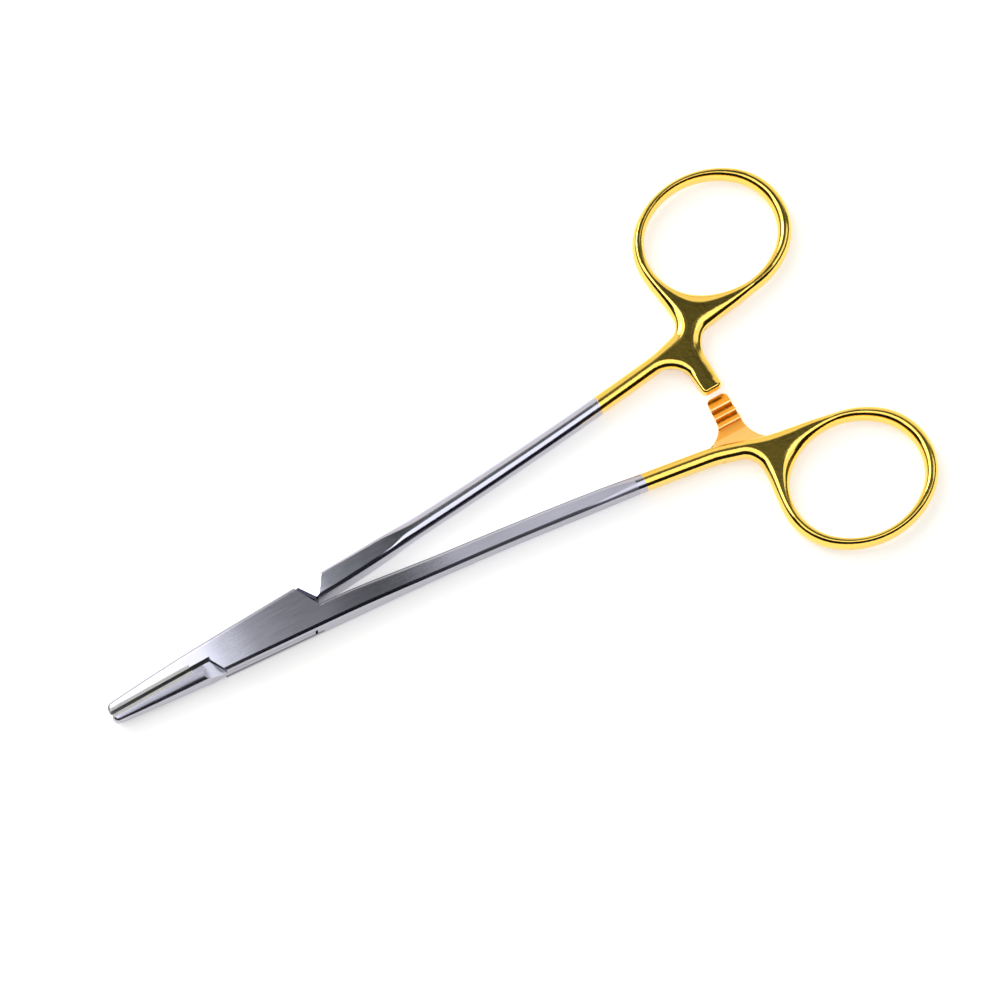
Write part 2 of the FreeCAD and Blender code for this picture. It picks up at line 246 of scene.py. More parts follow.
def half_height(x):
    """Half the thickness of a half at a place along X."""
    if x <= JAW_STATIONS[-1][0]:
        for (x0, h0, s0), (x1, h1, s1) in zip(JAW_STATIONS, JAW_STATIONS[1:]):
            if x <= x1:
                run = x1 - x0
                t = (x - x0) / run
                fall = 2 * t ** 3 - 3 * t ** 2
                return (h0 * (1 + fall) - h1 * fall + s0 * run * (t ** 3 - 2 * t ** 2 + t)
                        + s1 * run * (t ** 3 - t ** 2))
    if x <= BOX_REAR:
        return BOX_HALF
    if x >= SHANK_FULL:
        return HANDLE_HALF
    t = (x - BOX_REAR) / (SHANK_FULL - BOX_REAR)
    return BOX_HALF + (HANDLE_HALF - BOX_HALF) * (3 * t ** 2 - 2 * t ** 3)


def blend_values(x, table):
    """A value that runs smoothly through (place, value) pairs."""
    if x <= table[0][0]:
        return table[0][1]
    for (x0, v0), (x1, v1) in zip(table, table[1:]):
        if x <= x1:
            t = (x - x0) / (x1 - x0)
            return v0 + (v1 - v0) * (3 * t ** 2 - 2 * t ** 3)
    return table[-1][1]


def directions(points, closed=False):
    """The inward direction at each point of a path that keeps the metal on its left."""
    result = []
    count = len(points)
    for k in range(count):
        before = points[(k - 1) % count] if closed or k > 0 else points[k]
        after = points[(k + 1) % count] if closed or k < count - 1 else points[k]
        dx, dy = unit(after[0] - before[0], after[1] - before[1])
        result.append((-dy, dx))
    return result


def lower_rail():
    """Points from the jaw tip along the jaw, the box and the inner edge of the shank."""
    side = -JAW_INNER - TIP_WIDTH
    full = -box_edge(-FRONT_CROTCH)
    middle = (-22.08, side + (full - side) * 0.52)
    jaw = [(-JAW_LENGTH, 1.2)] + straight((-JAW_LENGTH, 1.2), (-JAW_LENGTH, side + TIP_RADIUS), 4)
    jaw += round_arc((-JAW_LENGTH + TIP_RADIUS, side + TIP_RADIUS), TIP_RADIUS, math.pi, 1.5 * math.pi, 12)
    jaw += bend(jaw[-1], (1, -0.09), middle, (1, -0.066), 14)
    jaw += bend(middle, (1, -0.066), (-FRONT_CROTCH, full), (1, -BOX_TAPER), 14)
    jaw += straight((-FRONT_CROTCH, full), (STEP_X, -box_edge(STEP_X)), 16)
    arc, start, start_way, end_way = shank_edge(-1, 60)
    shank = [(SHANK_X, SHANK_INNER)] + straight((SHANK_X, SHANK_INNER), (BOX_REAR, SHANK_INNER), 3)
    shank += bend((BOX_REAR, SHANK_INNER), (1, 0.04), start, start_way, 24)
    shank += arc
    return jaw, shank, end_way


def upper_rail(lower):
    """The facing edge, with one point for each point of the lower rail."""
    arc, start, start_way, end_way = shank_edge(1, 60)
    bent = [(BOX_REAR, box_edge(BOX_REAR))]
    bent += bend(bent[0], (1, BOX_TAPER), start, start_way, 24)
    tail = bent[1:] + arc
    points = []
    head = lower[:len(lower) - len(tail)]
    for k, (x, y) in enumerate(head):
        if x < -FRONT_CROTCH - 1:
            points.append((max(x, -JAW_LENGTH + 1.0 + 0.02 * k), 1.5))
        else:
            points.append((x, box_edge(x)))
    return points + tail, end_way


def limb(finish):
    """Stations of both edges of the jaw, box and shank."""
    jaw, shank, lower_way = lower_rail()
    lower = jaw + shank
    upper, upper_way = upper_rail(lower)
    inward = directions(jaw) + directions(shank)
    facing = [(-nx, -ny) for nx, ny in directions(upper)]
    low = [finish(p, n) for p, n in zip(lower, inward)]
    high = [finish(p, n, edge="outer") for p, n in zip(upper, facing)]
    low[-1] = low[-1]._replace(foot=under_level(low[-1].y))
    return low, high, lower_way, upper_way


def web_path(upper_start, upper_way):
    """The outer edge from the shank round the ring to where the ratchet arm's root ends."""
    points = bend(upper_start, upper_way, LEAD_END, (1, LEAD_SLOPE), 10)
    points += bend(LEAD_END, (1, LEAD_SLOPE), CORNER_END, (0, 1), 12)
    left = (RIM_CENTRE[0] - RIM[0], RIM_CENTRE[1])
    points += bend(CORNER_END, (0, 1), left, (0, 1), 18)
    rim = oval(RIM_CENTRE, RIM, RIM_LEAVE, math.pi, 0.5)
    foot = rim_foot()
    points += rim[-2::-1] + [foot]
    points += bend(foot, (-math.cos(RIM_LEAVE + math.pi / 2), -math.sin(RIM_LEAVE + math.pi / 2)), ROOT_END,
                   (-1, -ROOT_SLOPE), 24)
    return points


def rim_foot():
    """Where the ring's outer edge leaves the oval towards the ratchet arm."""
    a, b = RIM
    end_radius = RING_ROUNDNESS * b
    side_radius = (a ** 2 - 2 * a * end_radius + b ** 2) / (2 * (b - end_radius))
    meet = math.atan2(side_radius - b, a - end_radius)
    if -RIM_LEAVE < meet:
        centre = (RIM_CENTRE[0] + a - end_radius, RIM_CENTRE[1])
        radius = end_radius
    else:
        centre = (RIM_CENTRE[0], RIM_CENTRE[1] + side_radius - b)
        radius = side_radius
    return centre[0] + radius * math.cos(RIM_LEAVE), centre[1] + radius * math.sin(RIM_LEAVE)


def tooth_profile():
    """Level of the ratchet arm's toothed face, as (distance from the centre line, level) pairs."""
    ridge = MIDDLE - TOOTH_ENGAGEMENT
    valley = ridge + TOOTH_HEIGHT
    y = ARM_TIP
    profile = [(y, valley)]
    y += LANDING
    for k in range(TOOTH_COUNT):
        profile += [(y, ridge), (y + STEEP_RUN, valley)]
        y += TOOTH_PITCH
    return profile + [(y, valley), (ROOT_END[1], MIDDLE)]


def under_level(y):
    """Level of the ratchet arm's underside at a distance from the centre line."""
    profile = tooth_profile()
    for (y0, z0), (y1, z1) in zip(profile, profile[1:]):
        if y <= y1:
            return z0 + (z1 - z0) * max(0, y - y0) / (y1 - y0)
    return MIDDLE


def arm_paths(inner_end, inner_way):
    """The ratchet arm's two sides and its tip: right side down, tip, left side up."""
    left, right = ARM_X - ARM_HALF_WIDTH, ARM_X + ARM_HALF_WIDTH
    r = ARM_CORNER
    right_waist = (right, (ROOT_END[1] + ARM_TIP + r) / 2)
    left_waist = (left - ARM_FLARE, (inner_end[1] + ARM_TIP + r) / 2)
    right_root = bend(ROOT_END, (-1, -ROOT_SLOPE), right_waist, (0, -1), 16)
    left_root = bend(left_waist, (-0.04, 1), inner_end, (-inner_way[0], -inner_way[1]), 16)
    return right_root, right_waist, left_waist, left_root, left, right


def along(points, y):
    """Where a run of points crosses a distance from the centre line."""
    for (x0, y0), (x1, y1) in zip(points, points[1:]):
        if min(y0, y1) <= y <= max(y0, y1) and y0 != y1:
            return x0 + (x1 - x0) * (y - y0) / (y1 - y0)
    raise RuntimeError("the ratchet arm has no edge at %.2f mm" % y)


def bevel_shares():
    """Shares across and up a slanting bevel with a rounded foot, from the wall to the flat."""
    shares = []
    across = up = 0.0
    for k in range(1, ROUND_STEPS + 1):
        tilt = math.radians(86.0 - 36.0 * min(1, k / 3) - 14.0 * k / ROUND_STEPS)
        across += math.cos(tilt)
        up += math.sin(tilt)
        shares.append((across, up))
    return [(a / across, u / up) for a, u in shares]


def edge_rows(station):
    """Points of one station from the foot of the wall to the edge of the flat top."""
    x, y = station.x, station.y
    nx, ny = station.inward
    rows = [(x, y, station.foot), (x, y, station.top - station.drop)]
    for k, (across, up) in enumerate(bevel_shares()):
        a = math.pi / 2 * (k + 1) / ROUND_STEPS
        off = station.soft * (1 - math.cos(a) + station.bevel * (across - 1 + math.cos(a)))
        fall = station.drop * (1 - math.sin(a) - station.bevel * (up - math.sin(a)))
        rows.append((x + nx * off, y + ny * off, station.top - fall))
    off = station.soft + SUPPORT
    rows.append((x + nx * off, y + ny * off, station.top))
    return rows


def clear_selection():
    if bpy.context.object and bpy.context.object.mode != "OBJECT":
        bpy.ops.object.mode_set(mode="OBJECT")
    bpy.ops.object.select_all(action="DESELECT")


def sheet(name, columns, flip):
    """A grid primitive whose vertices are put at the places given column by column."""
    clear_selection()
    across = len(columns[0])
    bpy.ops.mesh.primitive_grid_add(x_subdivisions=len(columns) - 1, y_subdivisions=across - 1, size=1)
    obj = bpy.context.object
    obj.name = name
    mesh = obj.data
    if len(mesh.vertices) != len(columns) * across:
        raise RuntimeError("grid has %d vertices, not %d" % (len(mesh.vertices), len(columns) * across))
    for row in range(across):
        for column, places in enumerate(columns):
            x, y, z = places[row]
            if flip:
                z = 2 * MIDDLE - z
            mesh.vertices[row * len(columns) + column].co = (x * MM, y * MM, z * MM)
    return obj


def join(objects):
    clear_selection()
    for obj in objects:
        obj.select_set(True)
    bpy.context.view_layer.objects.active = objects[0]
    bpy.ops.object.join()
    return bpy.context.object


def prism(name, corners, low, high):
    """A straight-sided cutter with the plan outline given."""
    clear_selection()
    bpy.ops.mesh.primitive_circle_add(vertices=len(corners), radius=1, fill_type="NGON")
    obj = bpy.context.object
    obj.name = name
    for vertex, (x, y) in zip(obj.data.vertices, corners):
        vertex.co = (x * MM, y * MM, low * MM)
    bpy.ops.object.mode_set(mode="EDIT")
    bpy.ops.mesh.select_all(action="SELECT")
    bpy.ops.mesh.extrude_region_move(TRANSFORM_OT_translate={"value": (0, 0, (high - low) * MM)})
    bpy.ops.mesh.select_all(action="SELECT")
    bpy.ops.mesh.normals_make_consistent(inside=False)
    bpy.ops.object.mode_set(mode="OBJECT")
    return obj


def drum(name, radius, low, high):
    """A round cutter on the pivot axis."""
    clear_selection()
    bpy.ops.mesh.primitive_cylinder_add(
        vertices=192, radius=radius * MM, depth=(high - low) * MM, location=(0, 0, (low + high) / 2 * MM))
    obj = bpy.context.object
    obj.name = name
    bpy.ops.object.transform_apply(location=True, rotation=True, scale=True)
    return obj


def boolean(target, cutter, operation="DIFFERENCE"):
    """Cuts one mesh by another and removes the cutter."""
    clear_selection()
    target.select_set(True)
    bpy.context.view_layer.objects.active = target
    modifier = target.modifiers.new("cut", "BOOLEAN")
    modifier.operation = operation
    modifier.solver = "EXACT"
    modifier.object = cutter
    bpy.ops.object.modifier_apply(modifier=modifier.name)
    bpy.data.objects.remove(cutter, do_unlink=True)
    if not target.data.polygons:
        raise RuntimeError("nothing is left of " + target.name)


def half_finish(profile):
    """A function that gives a point of the outline its rounding and levels."""
    def finish(point, inward, foot=MIDDLE, soft=None, drop=None, edge="inner"):
        x, y = point
        top = MIDDLE + half_height(x)
        soft = blend_values(x, profile[edge][0]) if soft is None else soft
        drop = blend_values(x, profile[edge][1]) if drop is None else drop
        bevel = blend_values(x, profile["bevel"][1]) if edge == profile["bevel"][0] else 0.0
        return Station(x, y, inward, soft, drop, top, foot, bevel)
    return finish


def room_across(points, inward, others):
    """Distance from each point of an outline to the far side of the metal."""
    segments = [(a, b) for run in others for a, b in zip(run, run[1:])]
    result = []
    for (px, py), (nx, ny) in zip(points, inward):
        nearest = 20.0
        for (ax, ay), (bx, by) in segments:
            dx, dy = bx - ax, by - ay
            cross = nx * dy - ny * dx
            if abs(cross) < 1e-9:
                continue
            t = ((ax - px) * dy - (ay - py) * dx) / cross
            u = ((ax - px) * ny - (ay - py) * nx) / cross
            if t > 0.4 and 0 <= u <= 1:
                nearest = min(nearest, t)
        result.append(nearest)
    return result


def eased(values, reach, closed=False):
    """Lowers each value to its neighbours' and then evens the run out."""
    count = len(values)

    def near(k, spread):
        picks = range(k - spread, k + spread + 1)
        if closed:
            return [values[i % count] for i in picks]
        return [values[min(max(i, 0), count - 1)] for i in picks]

    values = [min(near(k, reach)) for k in range(count)]
    return [sum(near(k, reach)) / (2 * reach + 1) for k in range(count)]


def flat_sheet(name, stations, flip):
    """The wall and rounded edge over a run of stations."""
    return sheet(name, [edge_rows(s) for s in stations], flip)


def edge_sheets(name, shape, flip):
    """The sheets of one half's upper or lower side, in the pose of the tongue half."""
    finish = half_finish(shape)
    low, high, lower_way, upper_way = limb(finish)
    if flip:
        low[-1] = low[-1]._replace(foot=2 * MIDDLE - low[-1].foot)
    start = (high[-1].x, high[-1].y)
    end = (low[-1].x, low[-1].y)
    around = [start] + web_path(start, upper_way)
    plain = len(around)
    if flip:
        around += bend(around[-1], (-1, -ROOT_SLOPE), end, (-lower_way[0], -lower_way[1]), 24)
        feet = [MIDDLE] * plain + [2 * MIDDLE - under_level(p[1]) for p in around[plain:]]
    else:
        around += arm_outline(end, lower_way)
        feet = [MIDDLE] * plain + [under_level(p[1]) for p in around[plain:]]
    inward = [(-nx, -ny) for nx, ny in directions(around)]
    inward[0], inward[-1] = high[-1].inward, low[-1].inward
    opening = oval(RING, OPENING, -math.pi, math.pi, 0.5)
    outward = [(-nx, -ny) for nx, ny in directions(opening, closed=True)]
    shank_sides = [(s.x, s.y) for s in high[-12:]], [(s.x, s.y) for s in low[-12:]]
    runs = [around, opening + opening[:1], *shank_sides]
    web_wide = crown_widths(around, inward, runs, shape)
    hole_wide = crown_widths(opening, outward, runs, shape, closed=True)
    web = [finish(p, n, foot, wide, crown_height(p, wide, shape))
           for p, n, foot, wide in zip(around, inward, feet, web_wide)]
    hole = [finish(p, n, MIDDLE, wide, crown_height(p, wide, shape))
            for p, n, wide in zip(opening, outward, hole_wide)]
    hole.append(hole[0])
    rows = [edge_rows(s) for s in (low[0], high[0])]
    return [
        flat_sheet(name + "_low", low, flip),
        flat_sheet(name + "_high", high, flip),
        sheet(name + "_face", [[edge_rows(a)[-1], edge_rows(b)[-1]] for a, b in zip(low, high)], flip),
        sheet(name + "_end", rows, flip),
        flat_sheet(name + "_web", web, flip),
        flat_sheet(name + "_opening", hole, flip),
    ]


def blank(name, shape):
    """One whole half before its lock is cut, in the pose of the tongue half."""
    shells = edge_sheets(name + "_upper", shape, False) + edge_sheets(name + "_lower", shape, True)
    low, high, lower_way, upper_way = limb(half_finish(shape))
    right, left = arm_sides((low[-1].x, low[-1].y), lower_way)
    right, left = ([p for p in side if p[1] < TEETH_END + 0.001] for side in (right, left))
    teeth = [[(a[0], a[1], under_level(a[1])), (b[0], b[1], under_level(b[1]))]
             for a, b in zip(right, left)]
    shells.append(sheet(name + "_teeth", teeth, False))
    half = join(shells)
    half.name = name
    close_up(half)
    return half


def arm_sides(inner_end, inner_way):
    """Matching points of the ratchet arm's right and left sides, from its root to its tip."""
    right_root, right_waist, left_waist, left_root, left, right = arm_paths(inner_end, inner_way)
    r = ARM_CORNER
    right_line = [ROOT_END] + right_root + [(right, ARM_TIP + r)]
    left_line = [(left, ARM_TIP + r), left_waist] + left_root
    corners = [y for y, z in tooth_profile() if ARM_TIP + r < y <= TEETH_END + 0.001]
    between = [TEETH_END - 0.17 * k for k in range(1, 40)]
    stops = sorted({round(y, 4) for y in corners + [y for y in between if y > ARM_TIP + r]}, reverse=True)
    right_side = [(along(right_line, y), y) for y in stops] + [(right, ARM_TIP + r)]
    left_side = [(along(left_line, y), y) for y in stops] + [(left, ARM_TIP + r)]
    right_side += round_arc((right - r, ARM_TIP + r), r, 0, -math.pi / 2, 8)
    left_side += round_arc((left + r, ARM_TIP + r), r, math.pi, 1.5 * math.pi, 8)
    right_side = [p for p in right_root if p[1] > TEETH_END + 0.05] + right_side
    left_side = [p for p in reversed(left_root) if p[1] > TEETH_END + 0.05] + left_side
    return right_side, left_side


def arm_outline(inner_end, inner_way):
    """Points round the ratchet arm, from the end of the web to the shank."""
    right_side, left_side = arm_sides(inner_end, inner_way)
    return right_side + left_side[::-1]


def crown_widths(points, inward, runs, shape, closed=False):
    """Rounding widths round the web, the arm and the ring: half the metal's width, up to a limit."""
    widths = [min(shape["widest"], room / 2 - 0.06) for room in room_across(points, inward, runs)]
    for k, (x, y) in enumerate(points):
        if y < ROOT_END[1] - 0.6:
            side = shape["arm_right"] if x > ARM_X + 0.5 else shape["arm_left"]
            limit = blend_values(y, ((ARM_TIP + 1.2, side), (5.5, max(side, 1.3)), (9.0, shape["widest"])))
            widths[k] = min(widths[k], limit)
    if closed:
        return eased(widths, 4, True)
    widths = eased(widths, 7)
    start = shape["inner"][0][-1][1]
    for k in range(6):
        share = k / 6
        widths[k] = start + (widths[k] - start) * share
        widths[-1 - k] = start + (widths[-1 - k] - start) * share
    return widths


def crown_height(point, wide, shape):
    """Rounding height that belongs to a width: nearly the whole thickness on the ring."""
    x, y = point
    start = shape["inner"][1][-1][1]
    if y < ROOT_END[1] - 0.6 and x > SHANK_END[0] + 1:
        return blend_values(y, ((ARM_TIP + 1.2, shape["arm_drop"]), (9.0, start)))
    on_ring = blend_values(y, ((14.5, 0.0), (20.0, 1.0)))
    if x > RING[0] - 4:
        on_ring = max(on_ring, blend_values(x, ((RING[0] - 4, 0.0), (RING[0] + 3, 1.0))))
    return start + (shape["ring_drop"] - start) * on_ring


def fill_loops(half, fits):
    """Fills the open loops whose edges lie on the surface that the test describes."""
    bm = bmesh.from_edit_mesh(half.data)
    for element in list(bm.verts) + list(bm.edges) + list(bm.faces):
        element.select = False
    found = 0
    for edge in bm.edges:
        if edge.is_boundary and all(fits(v.co / MM) for v in edge.verts):
            edge.select = True
            found += 1
    bm.select_flush(True)
    bmesh.update_edit_mesh(half.data)
    if not found:
        raise RuntimeError("no open loop found on " + half.name)
    bpy.ops.mesh.fill(use_beauty=True)


def close_up(half):
    """Merges the sheets, then fills the handle's flat faces and the ratchet arm's underside."""
    clear_selection()
    half.select_set(True)
    bpy.context.view_layer.objects.active = half
    bpy.ops.object.mode_set(mode="EDIT")
    bpy.ops.mesh.select_all(action="SELECT")
    bpy.ops.mesh.remove_doubles(threshold=0.004 * MM)
    fill_loops(half, lambda p: abs(p.z - MIDDLE - HANDLE_HALF) < 1e-4)
    fill_loops(half, lambda p: abs(p.z - MIDDLE + HANDLE_HALF) < 1e-4)
    fill_loops(half, lambda p: p.y > TEETH_END - 0.001 and abs(p.z - under_level(p.y)) < 1e-3)
    bpy.ops.mesh.select_all(action="SELECT")
    bpy.ops.mesh.normals_make_consistent(inside=False)
    bpy.ops.object.mode_set(mode="OBJECT")


def circle_corners(radius, start, finish, steps):
    """Plan places along a circle round the pivot, both ends among them."""
    return [(radius * math.cos(a), radius * math.sin(a))
            for a in (start + (finish - start) * k / steps for k in range(steps + 1))]


def on_edge(slope, offset, end):
    """Where a long edge of the box meets the circle of the tongue's ends."""
    a = 1 + slope ** 2
    b = slope * offset
    x = (-b + end * math.sqrt(b ** 2 - a * (offset ** 2 - TONGUE_RADIUS ** 2))) / a
    return x, offset + slope * x


def round_tip(half):
    """Rounds the corner between the jaw's end and its gripping face."""
    r = TIP_INNER_RADIUS
    centre = (-JAW_LENGTH + r, -JAW_INNER - r)
    corners = [(-JAW_LENGTH - 1, 1), (-JAW_LENGTH - 1, centre[1])]
    corners += [(centre[0] + r * math.cos(a), centre[1] + r * math.sin(a))
                for a in (math.pi - math.pi / 2 * k / 10 for k in range(11))]
    corners += [(centre[0], 1)]
    boolean(half, prism("tip_corner", corners, -2, 8))


def trim_tongue(half):
    """Cuts the gripping face and the round ends of the tongue."""
    high = on_edge(BOX_TAPER, BOX_HALF_WIDTH, -1)
    low = on_edge(-BOX_TAPER, -BOX_HALF_WIDTH, 1)
    front = math.pi + math.asin(JAW_INNER / TONGUE_RADIUS)
    rear = math.asin(SHANK_INNER / TONGUE_RADIUS)
    high_angle = math.atan2(high[1], high[0]) - 0.1
    low_angle = math.atan2(low[1], low[0]) - 0.1
    corners = [(-36, -JAW_INNER)] + circle_corners(TONGUE_RADIUS, front, high_angle, 24) + [(-8, 9), (-36, 9)]
    boolean(half, prism("front_trim", corners, -2, 8))
    corners = circle_corners(TONGUE_RADIUS, low_angle, rear, 24) + [
        (SHANK_X + 0.04, SHANK_INNER - 0.004), (SHANK_X + 0.04, -9), (8, -9)]
    boolean(half, prism("rear_trim", corners, -2, 8))
    round_tip(half)


def trim_box(half):
    """Cuts the gripping face and the slanted ends of the cheeks."""
    lean = math.tan(CHEEK_SLANT)
    reach = 7.0
    corners = [(-36, -JAW_INNER), (-FRONT_CROTCH, -JAW_INNER),
               (-FRONT_CROTCH + lean * reach, reach - JAW_INNER), (-36, reach - JAW_INNER)]
    boolean(half, prism("front_trim", corners, -2, 8))
    corners = [(REAR_CROTCH, SHANK_INNER - 0.004), (SHANK_X + 0.04, SHANK_INNER - 0.004),
               (SHANK_X + 0.04, SHANK_INNER - reach), (REAR_CROTCH - lean * reach, SHANK_INNER - reach)]
    boolean(half, prism("rear_trim", corners, -2, 8))
    round_tip(half)


def cut_cheek_room(half):
    """Thins the tongue where the cheeks of the other half lie over it."""
    reach = 12.0
    lean = math.tan(CHEEK_SLANT) * reach
    shift = SHOULDER_GAP / math.cos(CHEEK_SLANT)
    front, rear = -FRONT_CROTCH - shift, REAR_CROTCH + shift
    corners = [(front + lean, JAW_INNER - reach), (rear + lean, -SHANK_INNER - reach),
               (rear - lean, -SHANK_INNER + reach), (front - lean, JAW_INNER + reach)]
    boolean(half, prism("room_above", corners, MIDDLE + SLOT_HEIGHT / 2 - SLOT_LINE, 9))
    boolean(half, prism("room_below", corners, -3, MIDDLE - SLOT_HEIGHT / 2 + SLOT_LINE))


def cut_facets(half):
    """Cuts the slanting corner facets on both shoulders, above and below."""
    for apex, low, side, angle in ((FRONT_APEX, FRONT_LOW, -1, FRONT_FACET_ANGLE),
                                   (REAR_APEX, REAR_LOW, 1, REAR_FACET_ANGLE)):
        turn = math.radians(angle)
        ridge = Vector((side * math.cos(turn), side * math.sin(turn), 0))
        fall = Vector(low) - Vector(apex)
        slope = fall - ridge * fall.dot(ridge)
        normal = ridge.cross(slope).normalized()
        if normal.z < 0:
            normal.negate()
        wide = 16.0 * side
        corners = [(side * 2, -9), (wide, -9), (wide, 9), (side * 2, 9)]
        for up in (1, -1):
            level = MIDDLE + up * (SLOT_HEIGHT / 2 - SLOT_LINE)
            wedge = prism("facet", corners, min(level, level + 6 * up), max(level, level + 6 * up))
            point = Vector((apex[0], apex[1], MIDDLE + up * (apex[2] - MIDDLE)))
            way = Vector((normal.x, normal.y, up * normal.z))
            bpy.ops.object.mode_set(mode="EDIT")
            bpy.ops.mesh.select_all(action="SELECT")
            bpy.ops.mesh.bisect(plane_co=point * MM, plane_no=way, use_fill=True, clear_inner=True)
            bpy.ops.object.mode_set(mode="OBJECT")
            boolean(half, wedge)


def cut_slot(half):
    """Cuts the round slot and its two ways through the box."""
    low, high = MIDDLE - SLOT_HEIGHT / 2, MIDDLE + SLOT_HEIGHT / 2
    boolean(half, drum("slot", SLOT_RADIUS, low, high))
    front = [(-FRONT_CROTCH - 2, -JAW_INNER), (0, -JAW_INNER), (0, 12), (-FRONT_CROTCH - 2, 12)]
    rear = [(0, -12), (REAR_CROTCH + 2, -12), (REAR_CROTCH + 2, SHANK_INNER), (0, SHANK_INNER)]
    boolean(half, prism("front_way", front, low, high))
    boolean(half, prism("rear_way", rear, low, high))


def copy_of(obj, name):
    clear_selection()
    obj.select_set(True)
    bpy.context.view_layer.objects.active = obj
    bpy.ops.object.duplicate()
    twin = bpy.context.object
    twin.name = name
    twin.data.name = name
    return twin


def seat_insert(half, name):
    """Cuts the recess in the gripping face and makes the insert that fills it."""
    corners = [(-36, -JAW_INNER - INSERT_DEPTH), (-JAW_LENGTH + INSERT_LENGTH, -JAW_INNER - INSERT_DEPTH),
               (-JAW_LENGTH + INSERT_LENGTH, 4), (-36, 4)]
    insert = copy_of(half, name)
    boolean(insert, prism("insert_room", corners, -2, 8), "INTERSECT")
    boolean(half, prism("recess", corners, -2, 8))
    return insert


def turn_over(obj):
    """Turns a finished piece half round the long axis at mid thickness."""
    clear_selection()
    obj.select_set(True)
    bpy.context.view_layer.objects.active = obj
    bpy.ops.object.mode_set(mode="EDIT")
    bpy.ops.mesh.select_all(action="SELECT")
    bpy.ops.transform.rotate(value=math.pi, orient_axis="X", orient_type="GLOBAL",
                             center_override=(0, 0, MIDDLE * MM))
    bpy.ops.object.mode_set(mode="OBJECT")


def smooth(obj, angle=15):
    clear_selection()
    obj.select_set(True)
    bpy.context.view_layer.objects.active = obj
    bpy.ops.object.shade_smooth_by_angle(angle=math.radians(angle))


def edge_shape(inner, outer, bevel):
    """Rounding widths and heights along a half, in millimetres, as (place, width, height) rows."""
    tables = {}
    for name, rows in (("inner", inner), ("outer", outer)):
        tables[name] = ([(x, wide) for x, wide, high in rows], [(x, high) for x, wide, high in rows])
    return dict(tables, bevel=bevel, widest=WEB_CROWN, arm_left=0.55, arm_right=1.9, arm_drop=0.9,
                ring_drop=1.95)


# Materials

class Nodes:
    """Places and links the nodes of one material or group."""

    def __init__(self, tree):
        self.tree = tree
        self.count = 0

    def add(self, kind, values=None, **links):
        node = self.tree.nodes.new(kind)
        self.count += 1
        node.location = (self.count * 180 - 1200, (self.count % 4) * -160)
        for key, value in (values or {}).items():
            if isinstance(key, str) and hasattr(node, key) and key not in node.inputs:
                setattr(node, key, value)
            else:
                node.inputs[key].default_value = value
        for key, source in links.items():
            self.link(source, node.inputs[key.replace("_", " ")])
        return node

    def link(self, source, target):
        self.tree.links.new(source, target)

    def maths(self, operation, first, second=None, third=None):
        node = self.tree.nodes.new("ShaderNodeMath")
        node.operation = operation
        for socket, value in zip(node.inputs, (first, second, third)):
            if value is None:
                continue
            if isinstance(value, (int, float)):
                socket.default_value = value
            else:
                self.link(value, socket)
        return node.outputs[0]

    def spread(self, source, low, high, to_low=0.0, to_high=1.0, smooth=True):
        node = self.tree.nodes.new("ShaderNodeMapRange")
        node.interpolation_type = "SMOOTHSTEP" if smooth else "LINEAR"
        self.link(source, node.inputs["Value"])
        for name, value in (("From Min", low), ("From Max", high), ("To Min", to_low), ("To Max", to_high)):
            if isinstance(value, (int, float)):
                node.inputs[name].default_value = value
            else:
                self.link(value, node.inputs[name])
        return node.outputs["Result"]

    def track(self, source, stops):
        """A value that follows (place in millimetres, value) stops along the instrument."""
        first, last = stops[0][0], stops[-1][0]
        node = self.tree.nodes.new("ShaderNodeValToRGB")
        self.link(self.spread(source, first * MM, last * MM, smooth=False), node.inputs[0])
        node.color_ramp.interpolation = "EASE"
        points = node.color_ramp.elements
        while len(points) < len(stops):
            points.new(0.5)
        for point, (place, value) in zip(points, stops):
            point.position = (place - first) / (last - first)
            point.color = (value, value, value, 1)
        return node.outputs[0]

    def band(self, source, centre, outer, inner):
        """1 within the inner distance of a centre, falling to 0 at the outer one."""
        return self.spread(self.maths("ABSOLUTE", self.maths("SUBTRACT", source, centre)), outer, inner)

    def blend(self, factor, first, second):
        node = self.tree.nodes.new("ShaderNodeMix")
        node.data_type = "RGBA"
        if isinstance(factor, (int, float)):
            node.inputs["Factor"].default_value = factor
        else:
            self.link(factor, node.inputs["Factor"])
        for socket, value in ((node.inputs["A"], first), (node.inputs["B"], second)):
            colour = [s for s in node.inputs if s.name == socket.name and s.type == "RGBA"][0]
            if hasattr(value, "links"):
                self.link(value, colour)
            else:
                colour.default_value = (*value, 1.0)
        return [o for o in node.outputs if o.type == "RGBA"][0]


def make_group(name, inputs, outputs):
    """An empty node group with named sockets, its nodes, and its input and output nodes."""
    group = bpy.data.node_groups.new(name, "ShaderNodeTree")
    for label, kind, default in inputs:
        socket = group.interface.new_socket(label, in_out="INPUT", socket_type=kind)
        if default is not None:
            socket.default_value = default
    for label, kind in outputs:
        group.interface.new_socket(label, in_out="OUTPUT", socket_type=kind)
    nodes = Nodes(group)
    return group, nodes, group.nodes.new("NodeGroupInput"), group.nodes.new("NodeGroupOutput")


